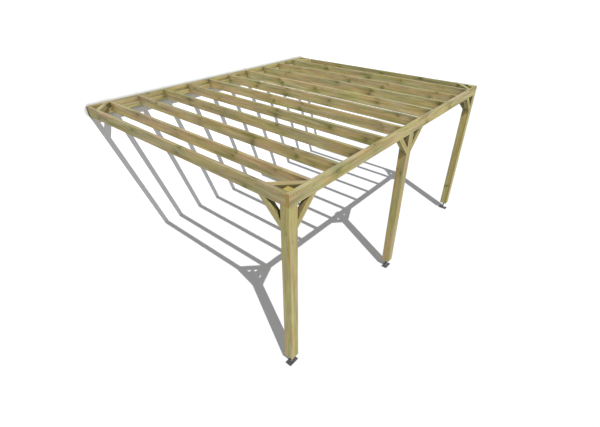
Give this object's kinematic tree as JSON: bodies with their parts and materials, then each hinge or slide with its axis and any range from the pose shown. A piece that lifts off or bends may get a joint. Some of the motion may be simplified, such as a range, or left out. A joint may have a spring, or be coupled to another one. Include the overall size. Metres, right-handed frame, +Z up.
{
  "type": "lean-to pergola",
  "caption": "Lean-to timber pergola: wall ledger, flat frame of closely set rafters, front posts on raised steel feet, square 45-degree braces.",
  "frame": {"origin": "middle of the ledger's wall face", "axes": "+X along the wall, +Y out of the ledger into the wall, +Z up; the posts stand at -Y"},
  "size_m": [5.015, 4.075, 2.525],
  "materials": {
    "board_timber": "planed pressure-treated softwood, matt, olive yellow with brown streaks",
    "post_timber": "planed pressure-treated softwood, matt, olive yellow",
    "brace_timber": "planed pressure-treated softwood, matt, warmer yellow",
    "foot_steel": "dark grey satin coat on steel"
  },
  "bodies": {
    "root": {"ledger": "board_timber", "ledger_batten": "board_timber", "front_beam": "board_timber", "front_batten_left": "board_timber", "front_batten_right": "board_timber", "side_beam_left": "board_timber", "side_beam_right": "board_timber", "rafter_1": "board_timber", "rafter_2": "board_timber", "rafter_3": "board_timber", "rafter_4": "board_timber", "rafter_5": "board_timber", "rafter_6": "board_timber", "rafter_7": "board_timber", "rafter_8": "board_timber", "rafter_9": "board_timber", "rafter_10": "board_timber", "post_left": "post_timber", "post_middle": "post_timber", "post_right": "post_timber", "corner_brace_front_left": "brace_timber", "corner_brace_front_right": "brace_timber", "corner_brace_back_left": "brace_timber", "corner_brace_back_right": "brace_timber", "knee_brace_side_left": "brace_timber", "knee_brace_side_right": "brace_timber", "knee_brace_front_left": "brace_timber", "knee_brace_front_right": "brace_timber", "knee_brace_middle_left": "brace_timber", "knee_brace_middle_right": "brace_timber", "post_foot_left": "foot_steel", "post_foot_middle": "foot_steel", "post_foot_right": "foot_steel"}
  },
  "joints": []
}
